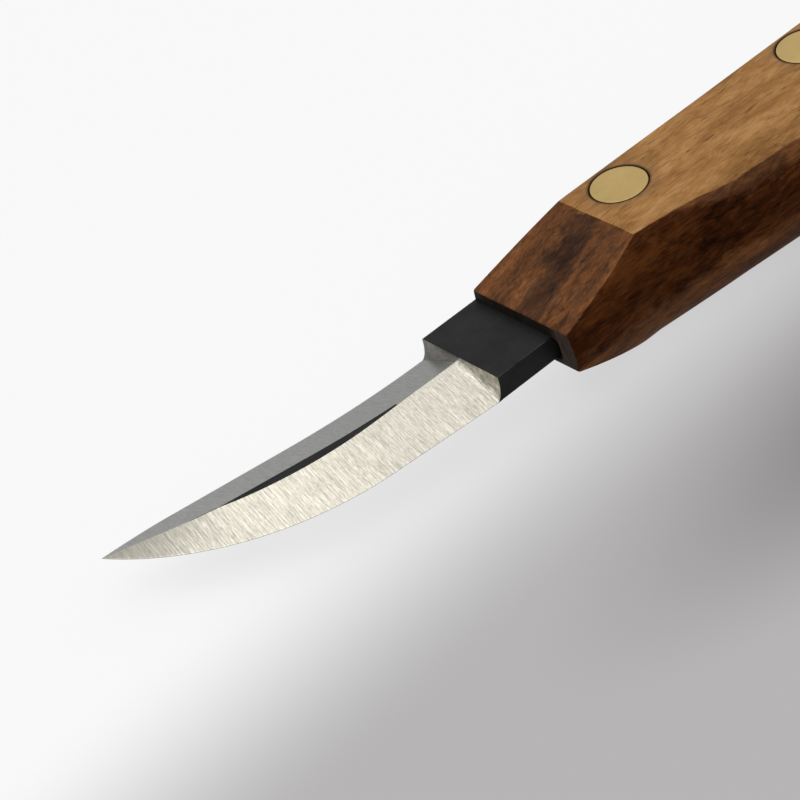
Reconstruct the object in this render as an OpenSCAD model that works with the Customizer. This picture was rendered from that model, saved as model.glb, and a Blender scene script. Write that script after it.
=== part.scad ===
// A small wood carving knife. One steel bar is the blade, the ricasso and the tang.
// The tang lies in a slot sawn along the back of a one-piece wooden handle, held by two-piece brass rivets.
// +X runs to the tip, +Y to the cutting edge, +Z is up. The knife lies on the handle's lower flat.
// The shapes are drawn about the bar: x = 0 at the ricasso's front, y = 0 on its middle line and z = 0 in its
// middle plane. in_place() then moves them so that the origin is under the middle of the knife's box.

/* [Blade] */
// Width of the steel bar
bar_width = 14; // [13:0.5:15]
// Thickness of the steel bar
bar_thickness = 3.2; // [2.6:0.1:3.8]
// Length of bar that shows between the bevels and the handle
ricasso_length = 8.5; // [6:0.5:12]
// Length from the ricasso's front to the tip
blade_length = 45.4; // [43:0.2:48]
// How far the tip sweeps past the bar's spine side
tip_sweep = 6.75; // [5.5:0.25:7.5]
// Length over which the spine bends, before it runs straight to the tip
spine_bend = 21; // [16:1:26]
// Length of the straight part of the cutting edge, next to the ricasso
straight_edge = 16; // [13:1:18]
// Angle of that straight part to the bar
straight_edge_angle = 5; // [4:0.5:6]
// Where the edge bevel's shoulder starts at the ricasso, from the bar's middle line
shoulder_offset = 0.1; // [0:0.05:0.2]
// Length over which that shoulder runs straight
shoulder_straight = 13; // [11:0.5:15]
// Radius of its sweep towards the tip
shoulder_radius = 49; // [46:0.5:54]
// Least width of the edge bevel, next to the tip
tip_bevel_width = 3.5; // [3:0.1:4]
// Width of the spine bevel at the ricasso
spine_bevel_width = 7.2; // [7:0.05:7.4]
// Width of the spine bevel at the tip
spine_tip_bevel_width = 6.6; // [6.2:0.1:7]
// Thickness that the spine bevel leaves at the spine
spine_thickness = 0.5; // [0.3:0.1:0.8]
// Radius of the hollow where the bevels run out at the ricasso
plunge_radius = 1; // [0.5:0.1:1.5]

/* [Handle] */
// Length of the handle
handle_length = 115; // [105:1:125]
// Thickness between the handle's two flats
handle_thickness = 14.4; // [13:0.2:16]
// Height of the nose above the bar's middle plane
nose_top = 3.2; // [2.6:0.1:4]
// Depth of the nose below the bar's middle plane
nose_bottom = 2.3; // [2.2:0.1:4]
// Length of the taper from the upper flat to the nose
top_taper = 14.5; // [10:0.5:18]
// Length of the taper from the lower flat to the nose
bottom_taper = 12.2; // [10:0.2:18]
// Reach of the belly from the bar's middle line, at the nose
nose_belly = 10.9; // [10:0.1:12]
// Reach of the belly at the palm swell
palm_belly = 14.6; // [12.5:0.1:16]
// Reach of the belly at the butt
butt_belly = 11.8; // [11:0.1:12.5]
// Distance from the nose to the widest part of the palm swell
palm_distance = 66; // [55:1:75]
// Reach of the back from the bar's middle line, at the nose
nose_back = 7; // [6.6:0.1:7.2]
// Radius of the bulging belly side, across the handle
belly_radius = 9.9; // [9:0.1:12]
// Radius of the flatter back side, across the handle
back_radius = 18; // [15:0.5:22]
// Rounding of the long edges behind the crisp front end, on the belly
belly_rounding = 4.5; // [3:0.5:5]
// Rounding of the long edges on the back
back_rounding = 0.8; // [0.5:0.1:1]
// Rounding of the butt's rim
butt_rounding = 4; // [3:0.5:5]
// Length over which the outline turns in towards the butt
butt_turn = 14; // [10:1:15]
// How far the belly turns in at the butt
belly_turn = 4; // [2:0.5:5]
// How far the back turns in at the butt
back_turn = 1.5; // [0.5:0.5:2]

/* [Slot] */
// Space left between the tang's edge side and the bottom of the slot
slot_gap = 1.2; // [0.8:0.1:1.6]
// Space left between the tang's curved end and the end of the slot
tang_end_gap = 0.4; // [0.2:0.1:0.8]
// Radius of the saw disc that leaves the slot's curved end
saw_radius = 35; // [30:1:40]
// Rounding of the disc's rim
saw_rim_rounding = 0.8; // [0.4:0.1:1.2]

/* [Rivets] */
// Distance from one rivet to the next
rivet_spacing = 32; // [28:0.5:34]
// Distance from the nose to the front rivet
first_rivet = 20.5; // [19:0.5:24]
// How far the rivets sit from the bar's middle line, towards the back
rivet_offset = 1.2; // [0:0.1:1.6]
// Diameter of the heads
rivet_head_d = 7.2; // [6.5:0.1:7.4]
// Thickness of the heads
rivet_head_h = 1.6; // [1.2:0.1:2]
// Outer diameter of the socket's tube
rivet_tube_d = 4.8; // [4.4:0.1:5.2]
// Diameter of the stud's pin
rivet_pin_d = 3; // [2.6:0.1:3.2]
// Gap around each head and tube in its hole
rivet_gap = 0.2; // [0.1:0.05:0.3]

/* [Hidden] */
$fn = 64;

// Steel
spine_side = -bar_width / 2;
tip_y = spine_side - tip_sweep;
// Smallest flat left along the ridge and the honed edge
ridge_flat = 0.06;
// The spine thins to nothing over this share of the blade
spine_thinning = 0.2;
// How late the spine bevel narrows along the blade: 1 is evenly, more is nearer the tip
spine_bevel_delay = 2;
// How sharply the edge bevel's width settles to its least: more is sharper
bevel_settling = 6;
plunge_steps = 6;
blade_steps = 40;

// The edge's belly is one arc, tangent to the straight part and ending at the tip
belly_start = [straight_edge, bar_width / 2 - straight_edge * tan(straight_edge_angle)];
to_tip = [blade_length, tip_y] - belly_start;
belly_normal = [-sin(straight_edge_angle), -cos(straight_edge_angle)];
edge_radius = to_tip * to_tip / (2 * to_tip * belly_normal);
edge_centre = belly_start + edge_radius * belly_normal;

// Wood
half_thickness = handle_thickness / 2;
nose_x = -ricasso_length;
// The back stands this far proud of the tang's spine side
back_stand = 0.1;
back_reach = bar_width / 2 + back_stand;
// The crisp edges at the front grow to their full rounding between these distances from the nose
crisp_rounding = 0.4;
rounding_start = top_taper;
rounding_end = 42;
side_steps = 5;
corner_steps = 4;
nose_steps = 24;
palm_steps = 14;
butt_steps = 5;
cutter_size = 100;

// Rivets
rivet_count = 3;
head_seat = half_thickness - rivet_head_h;
// Solid brass between the socket's bore and its head, and the room left at the pin's end
bore_floor = 2;
pin_room = 0.5;

// Slot
slot_bottom = bar_width / 2 + slot_gap;
rear_rivet = first_rivet + (rivet_count - 1) * rivet_spacing;
// The slot's bottom starts to curve this far in front of the rear rivet, so that the tang still holds it
slot_lead = 14;
slot_straight = rear_rivet - slot_lead;
slot_centre = [nose_x - slot_straight, slot_bottom - saw_radius];

// The middle of the knife's box
mid_x = (blade_length + nose_x - handle_length) / 2;
mid_y = (palm_belly + tip_y) / 2;

module in_place() translate([-mid_x, -mid_y, half_thickness]) children();

// Eases from 0 to 1 with level ends
function ease(u) = let (t = max(0, min(1, u))) t * t * (3 - 2 * t);
function mix(a, b, u) = a + (b - a) * u;
// The larger of two lengths, with a smooth change from one to the other
function smooth_max(a, b, power) = pow(pow(max(0, a), power) + pow(b, power), 1 / power);
function reversed(list) = [for (i = [len(list) - 1:-1:0]) list[i]];

// A solid through loops of equal length, closed at the far end by a flat face or by a point
module loft(loops, apex = undef) {
    n = len(loops[0]);
    last = len(loops) - 1;
    walls = [
        for (k = [0:last - 1], i = [0:n - 1])
            let (j = (i + 1) % n, a = k * n, b = a + n)
            each [[a + i, b + i, b + j], [a + i, b + j, a + j]]
    ];
    start = [[for (i = [0:n - 1]) i]];
    flat_end = [[for (i = [n - 1:-1:0]) last * n + i]];
    point_end = [for (i = [0:n - 1]) [last * n + i, (last + 1) * n, last * n + (i + 1) % n]];
    pointed = !is_undef(apex);
    polyhedron(
        points = [for (loop = loops) each loop, if (pointed) apex],
        faces = concat(walls, start, pointed ? point_end : flat_end)
    );
}

// Plan of the cutting edge, the spine and the edge bevel's shoulder, at a distance from the ricasso's front
function edge_y(x) =
    x < straight_edge
        ? bar_width / 2 - x * tan(straight_edge_angle)
        : edge_centre.y + sqrt(pow(edge_radius, 2) - pow(x - edge_centre.x, 2));
function spine_y(x) =
    let (slope = tip_sweep / (blade_length - spine_bend / 2))
    spine_side - slope * (x < spine_bend ? x * x / (2 * spine_bend) : x - spine_bend / 2);
function shoulder_y(x) = shoulder_offset - pow(max(0, x - shoulder_straight), 2) / (2 * shoulder_radius);

// One section of the blade. lift is the share of the bevels' depth that the run-out fills up again.
function blade_loop(x, lift) =
    let (
        u = x / blade_length,
        edge = edge_y(x),
        spine = spine_y(x),
        thinned = max(0, 1 - (1 - u) / spine_thinning),
        spine_top = spine_thickness * (1 - thinned * thinned),
        edge_bevel = smooth_max(edge - shoulder_y(x), tip_bevel_width, bevel_settling),
        spine_bevel = mix(spine_bevel_width, spine_tip_bevel_width, pow(u, spine_bevel_delay)),
        edge_slope = bar_thickness / edge_bevel,
        spine_slope = (bar_thickness - spine_top) / spine_bevel,
        ridge = (edge * edge_slope + spine * spine_slope - spine_top) / (edge_slope + spine_slope),
        top = min(bar_thickness, (edge - ridge) * edge_slope),
        edge_shoulder = max(edge - top / edge_slope, ridge + ridge_flat / 2),
        spine_shoulder = min(spine + (top - spine_top) / spine_slope, ridge - ridge_flat / 2),
        section = [
            [edge, 0],
            [edge, mix(ridge_flat, bar_thickness, lift)],
            [edge_shoulder, mix(top, bar_thickness, lift)],
            [spine_shoulder, mix(top, bar_thickness, lift)],
            [spine, mix(spine_top, bar_thickness, lift)],
            [spine, 0],
        ]
    )
    [for (p = section) [x, p.x, p.y - bar_thickness / 2]];

module ground_blade() {
    run_out = [
        for (i = [0:plunge_steps])
            let (a = 90 * i / plunge_steps)
            blade_loop(plunge_radius * (1 - cos(a)), 1 - sin(a))
    ];
    bevels = [
        for (i = [1:blade_steps - 1])
            blade_loop(mix(plunge_radius, blade_length, i / blade_steps), 0)
    ];
    loft(concat(run_out, bevels), apex = [blade_length, tip_y, -bar_thickness / 2]);
}

// The ricasso and the tang, whose end follows the slot's curve
module bar() {
    straight = slot_straight + ricasso_length;
    translate([-straight, spine_side, -bar_thickness / 2])
        cube([straight, bar_width, bar_thickness]);
    intersection() {
        translate([slot_centre.x - saw_radius, spine_side, -bar_thickness / 2])
            cube([saw_radius, bar_width, bar_thickness]);
        translate([slot_centre.x, slot_centre.y, -bar_thickness / 2])
            cylinder(r = saw_radius - tang_end_gap, h = bar_thickness);
    }
}

module at_rivet(index)
    translate([nose_x - first_rivet - index * rivet_spacing, -rivet_offset, 0]) children();

module rivet_holes() {
    for (i = [0:rivet_count - 1])
        at_rivet(i) cylinder(d = rivet_tube_d + 2 * rivet_gap, h = cutter_size, center = true);
}

module blade() {
    color("#8c8c8a") in_place() difference() {
        union() {
            ground_blade();
            bar();
        }
        rivet_holes();
    }
}

// A quarter of the handle's section, from its widest point up to the flat
function quarter(reach, side_radius, height, rounding) =
    let (
        meet = asin((height - rounding) / (side_radius - rounding)),
        middle = reach - side_radius,
        corner = middle + (side_radius - rounding) * cos(meet)
    )
    concat(
        [for (i = [0:side_steps])
            let (a = meet * i / side_steps)
            [middle + side_radius * cos(a), side_radius * sin(a)]],
        [for (i = [1:corner_steps])
            let (a = mix(meet, 90, i / corner_steps))
            [corner + rounding * cos(a), height - rounding * (1 - sin(a))]]
    );

// One section of the handle at a distance from the nose, drawn in by an inset at the butt.
// It runs the other way round from a blade section, because the handle's sections go on towards -X.
function handle_loop(distance, inset) =
    let (
        grown = ease((distance - rounding_start) / (rounding_end - rounding_start)),
        swell = sin(90 * max(0, distance - top_taper) / (palm_distance - top_taper)),
        fall = ease((distance - palm_distance) / (handle_length - palm_distance)),
        turn = 1 - sqrt(1 - pow(max(0, 1 - (handle_length - distance) / butt_turn), 2)),
        belly = distance < palm_distance
            ? mix(nose_belly, palm_belly, swell)
            : mix(palm_belly, butt_belly, fall) - belly_turn * turn,
        back = mix(nose_back, back_reach, ease(distance / top_taper)) - back_turn * turn,
        height = half_thickness - inset,
        belly_edge = max(crisp_rounding, mix(crisp_rounding, belly_rounding, grown) - inset),
        back_edge = max(crisp_rounding, mix(crisp_rounding, back_rounding, grown) - inset),
        front = quarter(belly - inset, belly_radius - inset, height, belly_edge),
        rear = quarter(back - inset, back_radius - inset, height, back_edge),
        above = concat(front, reversed([for (p = rear) [-p.x, p.y]])),
        below = [for (i = [len(above) - 2:-1:1]) [above[i].x, -above[i].y]]
    )
    [for (p = reversed(concat(above, below))) [nose_x - distance, p.x, p.y]];

module handle_form() {
    butt_start = handle_length - butt_rounding;
    loft(concat(
        [for (i = [0:nose_steps - 1]) handle_loop(palm_distance * i / nose_steps, 0)],
        [for (i = [0:palm_steps - 1]) handle_loop(mix(palm_distance, butt_start, i / palm_steps), 0)],
        [for (i = [0:butt_steps])
            let (a = 90 * i / butt_steps)
            handle_loop(butt_start + butt_rounding * sin(a), butt_rounding * (1 - cos(a)))]
    ));
}

// The wood above the sloping facet at the nose
module taper_cut(nose_height, length) {
    slope = atan((half_thickness - nose_height) / length);
    translate([nose_x, 0, nose_height])
        rotate([0, slope, 0])
        translate([-cutter_size / 2, -cutter_size / 2, 0])
        cube(cutter_size);
}

// The saw disc's section, from its axis to its rounded rim
module saw_section() {
    rim = saw_radius - saw_rim_rounding;
    half = bar_thickness / 2;
    translate([0, -half]) square([rim, bar_thickness]);
    translate([0, saw_rim_rounding - half]) square([saw_radius, bar_thickness - 2 * saw_rim_rounding]);
    for (side = [-1, 1])
        translate([rim, side * (half - saw_rim_rounding)]) circle(r = saw_rim_rounding);
}

module slot() {
    overrun = 1;
    translate([slot_centre.x, slot_centre.y, 0]) {
        rotate([90, 0, 90]) linear_extrude(slot_straight + overrun) saw_section();
        rotate_extrude() saw_section();
    }
}

module handle() {
    color("#6e4a30") in_place() difference() {
        handle_form();
        taper_cut(nose_top, top_taper);
        mirror([0, 0, 1]) taper_cut(nose_bottom, bottom_taper);
        slot();
        rivet_holes();
        for (i = [0:rivet_count - 1], side = [0, 1])
            mirror([0, 0, side]) at_rivet(i)
                translate([0, 0, head_seat])
                cylinder(d = rivet_head_d + 2 * rivet_gap, h = cutter_size);
    }
}

// The tubular half of a rivet, in from the upper flat
module rivet_socket(index) {
    tube_end = -head_seat + rivet_gap;
    color("#b5985f") in_place() at_rivet(index) difference() {
        union() {
            translate([0, 0, head_seat]) cylinder(d = rivet_head_d, h = rivet_head_h);
            translate([0, 0, tube_end]) cylinder(d = rivet_tube_d, h = head_seat - tube_end);
        }
        translate([0, 0, -head_seat]) cylinder(d = rivet_pin_d, h = 2 * head_seat - bore_floor);
    }
}

// The pin half, pressed into the socket from the lower flat
module rivet_stud(index) {
    color("#b5985f") in_place() at_rivet(index) {
        translate([0, 0, -half_thickness]) cylinder(d = rivet_head_d, h = rivet_head_h);
        translate([0, 0, -head_seat])
            cylinder(d = rivet_pin_d, h = 2 * head_seat - bore_floor - pin_room);
    }
}

blade();
handle();
rivet_socket(0);  // front_rivet_socket
rivet_stud(0);  // front_rivet_stud
rivet_socket(1);  // middle_rivet_socket
rivet_stud(1);  // middle_rivet_stud
rivet_socket(2);  // rear_rivet_socket
rivet_stud(2);  // rear_rivet_stud
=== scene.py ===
"""A small wood carving knife: a ground steel blade, its tang riveted with brass into a slotted wooden handle.

The pieces are drawn in millimetres about the bar: x = 0 at the ricasso's front, y = 0 on the bar's middle
line, z = 0 in its middle plane. in_place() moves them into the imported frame, in metres.
"""
import math

import bmesh
import bpy
from mathutils import Matrix, Vector


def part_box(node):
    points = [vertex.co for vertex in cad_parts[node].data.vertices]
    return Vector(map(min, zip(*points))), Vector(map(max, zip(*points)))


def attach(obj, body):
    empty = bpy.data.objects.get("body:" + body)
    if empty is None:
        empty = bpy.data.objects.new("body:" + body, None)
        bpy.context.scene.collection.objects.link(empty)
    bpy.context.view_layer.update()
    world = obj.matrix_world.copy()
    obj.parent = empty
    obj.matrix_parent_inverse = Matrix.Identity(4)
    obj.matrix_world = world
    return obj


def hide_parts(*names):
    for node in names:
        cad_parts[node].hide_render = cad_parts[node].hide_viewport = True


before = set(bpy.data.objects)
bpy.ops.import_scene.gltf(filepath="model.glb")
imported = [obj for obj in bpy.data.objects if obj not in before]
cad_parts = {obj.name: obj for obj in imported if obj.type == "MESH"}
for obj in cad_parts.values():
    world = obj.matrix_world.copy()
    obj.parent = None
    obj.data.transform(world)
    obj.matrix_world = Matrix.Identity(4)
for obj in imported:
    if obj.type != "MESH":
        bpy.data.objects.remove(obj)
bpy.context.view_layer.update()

MM = 0.001
QUARTER_TURN = math.pi / 2

# The steel bar, and the length of it that stays whole in front of the handle
BAR_WIDTH = 14.0
BAR_THICKNESS = 3.2
RICASSO_LENGTH = 8.5
EDGE_SIDE = BAR_WIDTH / 2
SPINE_SIDE = -BAR_WIDTH / 2

# The blade's outline: its tip past the spine side, the bend of the spine and the straight part of the edge
BLADE_LENGTH = 45.4
TIP_SWEEP = 6.75
TIP_Y = SPINE_SIDE - TIP_SWEEP
SPINE_BEND = 21.0
STRAIGHT_EDGE = 16.0
STRAIGHT_EDGE_ANGLE = math.radians(5)

# The edge bevel: the line where it ends on the bar's face, and the width that it settles to at the tip
SHOULDER_OFFSET = 0.1
SHOULDER_STRAIGHT = 13.0
SHOULDER_RADIUS = 49.0
TIP_BEVEL_WIDTH = 3.5
BEVEL_SETTLING = 6

# The spine bevel: its width at the ricasso and at the tip, and the spine's own thickness, which thins to
# nothing over the last share of the blade
SPINE_BEVEL_WIDTH = 7.2
SPINE_TIP_BEVEL_WIDTH = 6.6
SPINE_BEVEL_DELAY = 2
SPINE_THICKNESS = 0.5
SPINE_THINNING = 0.2

# The hollow at the ricasso, and the flat strip that stays on the ridge where the bevels meet
PLUNGE_RADIUS = 1.0
RIDGE_FLAT = 0.1
# The bar's black face shows between the bevels from the first of these places to the second
LENS_START = 10.1
LENS_END = 36.8
# Softened corners of the bar and of the spine, the honed strip along the edge and the bright band under it
BAR_CORNER = 0.16
SPINE_CORNER = 0.1
EDGE_LAND = 0.04
HONED_WIDTH = 0.2
HONED_HEIGHT = 0.16
UNDER_BAND = 0.9
# The blade stops this far short of its tip, so that its last section still has a size
TIP_BLUNTING = 0.02

# The wooden handle: half its thickness, its tapers to the nose, and how far its belly and its back reach
HANDLE_LENGTH = 115.0
HALF_HANDLE = 7.2
NOSE_TOP = 3.2
NOSE_BOTTOM = 2.3
TOP_TAPER = 14.5
BOTTOM_TAPER = 12.2
NOSE_BELLY = 10.9
PALM_BELLY = 14.6
BUTT_BELLY = 11.8
PALM_DISTANCE = 66.0
NOSE_BACK = 7.0
BACK_REACH = 7.1
# The curves of its two sides, and the rounding of its long edges, which grows from the tapers to the palm
BELLY_RADIUS = 9.9
BACK_RADIUS = 18.0
BELLY_ROUNDING = 4.5
BACK_ROUNDING = 0.8
CRISP_ROUNDING = 0.4
ROUNDING_END = 42.0
# The most of a side's height that its rounding takes
BELLY_ROUNDING_SHARE = 1 / 3
BACK_ROUNDING_SHARE = 1 / 8
# The butt's rounded rim, and how far the belly and the back turn in before it
BUTT_ROUNDING = 4.0
BUTT_TURN = 14.0
BELLY_TURN = 4.0
BACK_TURN = 1.5
# The butt stops this far short of the end of the solids' box
BUTT_HAIR = 0.005
# The softened rim of the nose, the softened creases, and the strip of flat beside each rounding
NOSE_RIM = 0.25
CREASE_SOFTNESS = 0.25
FLAT_MARGIN = 0.4

# Sanding makes the flats pale, and the tapers by a share of that; this paleness is partly painted light on
# the faces that look up, with the darker sides in painted shade. It ends where a face tilts up less than the
# front or the rear tilt, and it fades across that tilt, along the creases and with the butt's inset.
SANDED_AND_LIT_TILT_FRONT = math.radians(56)
SANDED_AND_LIT_TILT_REAR = math.radians(36)
SANDED_AND_LIT_TILT_SOFTNESS = math.radians(12)
SANDED_AND_LIT_REAR_DISTANCE = 30.0
SANDED_AND_LIT_TAPER = 0.5
SANDED_AND_LIT_CREASE = 1.8
SANDED_AND_LIT_INSET = 2.0
# The belly's lower half is lighter, more so up to this tilt
BELLY_LIGHTENING = 0.45
BELLY_LIGHTENING_END = math.radians(18)
# A dark streak crosses the tapers: its place at the upper crease, its slant, its half width, the share of
# that over which it fades to either side of its border, and how far the border wanders
STREAK_Y = 0.5
STREAK_SLANT = 0.2
STREAK_HALF_WIDTH = 2.4
STREAK_SOFTNESS = 0.5
STREAK_RAGGEDNESS = 3.0

# The sawn slot, and the tang's end in it
SLOT_BOTTOM = 8.2
SLOT_STRAIGHT = 70.5
SAW_RADIUS = 35.0
SLOT_CENTRE_Y = SLOT_BOTTOM - SAW_RADIUS
SAW_RIM_ROUNDING = 0.8
SLOT_LIP = 0.12
TANG_END_GAP = 0.4
# The dark glue and painted shade on the cut wood reach this far past the tang
GLUE_AND_SHADE_REACH = 1.4
# A face of the nose looks forward by at least this share
NOSE_FACING = 0.9

# The rivets: their row along the tang, their heads, the socket's tube and bore, and the stud's pin
RIVET_NAMES = ("front", "middle", "rear")
FIRST_RIVET = 20.5
RIVET_SPACING = 32.0
RIVET_OFFSET = 1.2
RIVET_HEAD_RADIUS = 3.6
RIVET_HEAD_HEIGHT = 1.6
RIVET_TUBE_RADIUS = 2.4
RIVET_PIN_RADIUS = 1.5
RIVET_GAP = 0.2
RIVET_RIM = 0.1
BORE_FLOOR = 2.0
PIN_ROOM = 0.5
HEAD_SEAT = HALF_HANDLE - RIVET_HEAD_HEIGHT
# Rings of points on a head's flat face, as shares of its radius
HEAD_RINGS = (0.0, 0.5, 0.9)
# The sunk seats of the heads: the gap round the head and the softened rim
SEAT_GAP = 0.15
SEAT_RIM = 0.06
SEAT_RADIUS = RIVET_HEAD_RADIUS + SEAT_GAP
SEAT_EDGE = SEAT_RADIUS + SEAT_RIM
# How far the dust and the dark ring of grime and painted shade round a seat reach
DUST_REACH = 1.8
RING_REACH = 0.3
# The cutter of the rivet holes stands this far out of the handle
CUTTER_OVERHANG = 3.0

# Distances between the sections of the bevels, of the tang and of the handle, which has finer ones where the
# slot runs out through its back
BEVEL_SPACING = 0.4
TANG_SPACING = 3.5
HANDLE_SPACING = 1.0
RUN_OUT_SPACING = 0.375
RUN_OUT_BEFORE = 7.5
RUN_OUT_AFTER = 1.5
# Steps round the curves
PLUNGE_STEPS = 12
TANG_END_STEPS = 24
BUTT_STEPS = 12
SIDE_STEPS = 9
ROUNDING_STEPS = 7
RIM_STEPS = 4
LIP_STEPS = 3
SAW_RIM_STEPS = 5
TURNING_STEPS = 96
# Sections across each crease, as shares of its softness
CREASE_SHARES = (-1, -0.5, 0, 0.5, 1)
# Points nearer than this are merged, and edges shorter than this are dissolved
MERGE_DISTANCE = 0.002
SLIVER_LENGTH = 0.001
# Edges that turn more than this stay sharp
BLADE_SHARP_ANGLE = math.radians(14)
HANDLE_SHARP_ANGLE = math.radians(30)
BRASS_SHARP_ANGLE = math.radians(35)

# The floor, in metres from the middle to a side
FLOOR_REACH = 3.0
# Its pale and its grey end across the knife, the slant of the way between them, and a soft band of shade
# beside the handle; the grey and the band are painted shade
PALE_FLOOR_Y = -6.0
GREY_FLOOR_Y = 30.0
FLOOR_SLANT = 0.08
SHADE_PLACE = (-60.0, 42.0, -HALF_HANDLE)
SHADE_HALF_LENGTH = 95.0
SHADE_HALF_WIDTH = 26.0
SHADE_STRENGTH = 0.75
# The share of its own colour that the floor shows whether lit or not, which softens the knife's shadow
FLOOR_GLOW = 0.8

# The photograph's view: where the camera stands in the drawing, and its right and upward ways
CAMERA_PLACE = (148.67, 262.77, 220.29)
CAMERA_RIGHT = Vector((-0.7391, 0.6170, -0.2704))
CAMERA_UP = Vector((-0.5576, -0.3352, 0.7594))
# Its sensor and its lens, and the range that it sees, in metres
CAMERA_SENSOR = 36.0
CAMERA_LENS = 144.0
CAMERA_RANGE = (0.01, 20.0)

# The sky's grey by how far up a way points, and its strength by how much more that way points to the
# cutting-edge side than up
SKY_GREYS = ((0.0, 0.50), (0.4, 0.65), (0.8, 1.0))
SKY_LEAN = (-0.3, 0.5)
SKY_STRENGTH = (1.06, 0.44)

# Where the drawing's zero lies in the frame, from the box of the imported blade
blade_low, blade_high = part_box("blade")
DRAWING_ZERO = Vector((
    blade_high.x - BLADE_LENGTH * MM,
    blade_low.y - TIP_Y * MM,
    blade_low.z + BAR_THICKNESS / 2 * MM,
))


# Measures


def in_place(point):
    """A drawn point, in millimetres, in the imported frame."""
    return DRAWING_ZERO + Vector(point) * MM


def clamped(share):
    """A share kept between 0 and 1."""
    return max(0.0, min(1.0, share))


def ease(share):
    """Eases from 0 to 1 with level ends."""
    share = clamped(share)
    return share * share * (3 - 2 * share)


def mix(start, end, share):
    """A value on the way from start to end, never past either."""
    return start + (end - start) * clamped(share)


def mix_points(starts, ends, share):
    """The points on the way from one list of points to another."""
    return [tuple(mix(start, end, share) for start, end in zip(*pair)) for pair in zip(starts, ends)]


def smooth_max(first, second, power):
    """The larger of two lengths, with a smooth change from one to the other."""
    return (max(0.0, first) ** power + second ** power) ** (1 / power)


def steps_between(start, end, count):
    """Even steps from start to end, without the end itself."""
    return [mix(start, end, step / count) for step in range(count)]


def spaced(start, end, spacing):
    """Even steps of about a given length, without the end itself."""
    return steps_between(start, end, math.ceil(abs(end - start) / spacing))


def quarter_arc(count):
    """Steps round a quarter circle without its end, as two shares: one starts slowly, the other quickly."""
    return [(1 - math.cos(angle), math.sin(angle)) for angle in steps_between(0.0, QUARTER_TURN, count)]


# The steel bar and its blade

# The belly of the cutting edge is one arc, tangent to its straight part and ending at the tip
edge_normal = Vector((-math.sin(STRAIGHT_EDGE_ANGLE), -math.cos(STRAIGHT_EDGE_ANGLE)))
edge_along = Vector((math.cos(STRAIGHT_EDGE_ANGLE), -math.sin(STRAIGHT_EDGE_ANGLE)))
heel = Vector((0.0, EDGE_SIDE))
arc_start = heel + edge_along * (STRAIGHT_EDGE / math.cos(STRAIGHT_EDGE_ANGLE))
to_tip = Vector((BLADE_LENGTH, TIP_Y)) - arc_start
edge_radius = to_tip.dot(to_tip) / (2 * to_tip.dot(edge_normal))
edge_centre = arc_start + edge_normal * edge_radius


def edge_y(x):
    """The cutting edge: straight from the heel, then round the belly to the tip."""
    if x < STRAIGHT_EDGE:
        return heel.y - x * math.tan(STRAIGHT_EDGE_ANGLE)
    return edge_centre.y + math.sqrt(edge_radius ** 2 - (x - edge_centre.x) ** 2)


def spine_y(x):
    """The spine bends away from the bar and then runs straight to the tip."""
    slope = TIP_SWEEP / (BLADE_LENGTH - SPINE_BEND / 2)
    if x < SPINE_BEND:
        return SPINE_SIDE - slope * x ** 2 / (2 * SPINE_BEND)
    return SPINE_SIDE - slope * (x - SPINE_BEND / 2)


def shoulder_y(x):
    """Where the edge bevel ends on the bar's face."""
    return SHOULDER_OFFSET - max(0.0, x - SHOULDER_STRAIGHT) ** 2 / (2 * SHOULDER_RADIUS)


def spine_thickness(x):
    """The spine's thickness, which thins to nothing at the tip."""
    thinned = max(0.0, 1 - (1 - x / BLADE_LENGTH) / SPINE_THINNING)
    return SPINE_THICKNESS * (1 - thinned ** 2)


def edge_rise(x):
    """How steeply the edge bevel rises from the cutting edge."""
    return BAR_THICKNESS / smooth_max(edge_y(x) - shoulder_y(x), TIP_BEVEL_WIDTH, BEVEL_SETTLING)


def spine_rise(x):
    """How steeply the spine bevel rises from the spine."""
    width = mix(SPINE_BEVEL_WIDTH, SPINE_TIP_BEVEL_WIDTH, (x / BLADE_LENGTH) ** SPINE_BEVEL_DELAY)
    return (BAR_THICKNESS - spine_thickness(x)) / width


def half_ridge(width):
    """Half the flat strip on the ridge of a section this wide."""
    return min(RIDGE_FLAT, width / 4) / 2


def bevel_shoulders(x):
    """Where the two bevels stop: the edge bevel's y, the spine bevel's y, and their height."""
    edge = edge_y(x)
    spine = spine_y(x)
    low = spine_thickness(x)
    ridge = (edge * edge_rise(x) + spine * spine_rise(x) - low) / (edge_rise(x) + spine_rise(x))
    top = min(BAR_THICKNESS, (edge - ridge) * edge_rise(x))
    half_flat = half_ridge(edge - spine)
    edge_shoulder = max(edge - top / edge_rise(x), ridge + half_flat)
    spine_shoulder = min(spine + (top - low) / spine_rise(x), ridge - half_flat)
    return edge_shoulder, spine_shoulder, top


def corner(y, z, side_y, side_z, size):
    """Three points round a corner, each with how worn it is, which also paints a highlight there. side_y and
    side_z point into the metal.
    """
    near = size * (1 - math.sqrt(0.5))
    return [
        (y, z + side_z * size, 0.0),
        (y + side_y * near, z + side_z * near, 1.0),
        (y + side_y * size, z, 0.0),
    ]


def edge_corners(y, size):
    """The whole bar's corners on the edge side, from below to above."""
    return corner(y, 0, -1, 1, size)[::-1] + corner(y, BAR_THICKNESS, -1, -1, size)


def spine_corners(y, size):
    """The whole bar's corners on the spine side, from above to below."""
    return corner(y, BAR_THICKNESS, 1, -1, size)[::-1] + corner(y, 0, 1, 1, size)


def ground_edge(x):
    """The points round the ground edge: the bright band under it and the honed strip, narrower at the tip."""
    edge = edge_y(x)
    share = min(1.0, (edge - spine_y(x)) / (2 * UNDER_BAND))
    band = [(edge - UNDER_BAND * share * part, 0.0, 0.0) for part in (1.0, 0.5, 0.0)]
    honed = [
        (edge - HONED_WIDTH * share * part, mix(EDGE_LAND, HONED_HEIGHT, part) * share, 0.0)
        for part in (0.0, 0.5, 1.0)
    ]
    return band + honed


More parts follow.
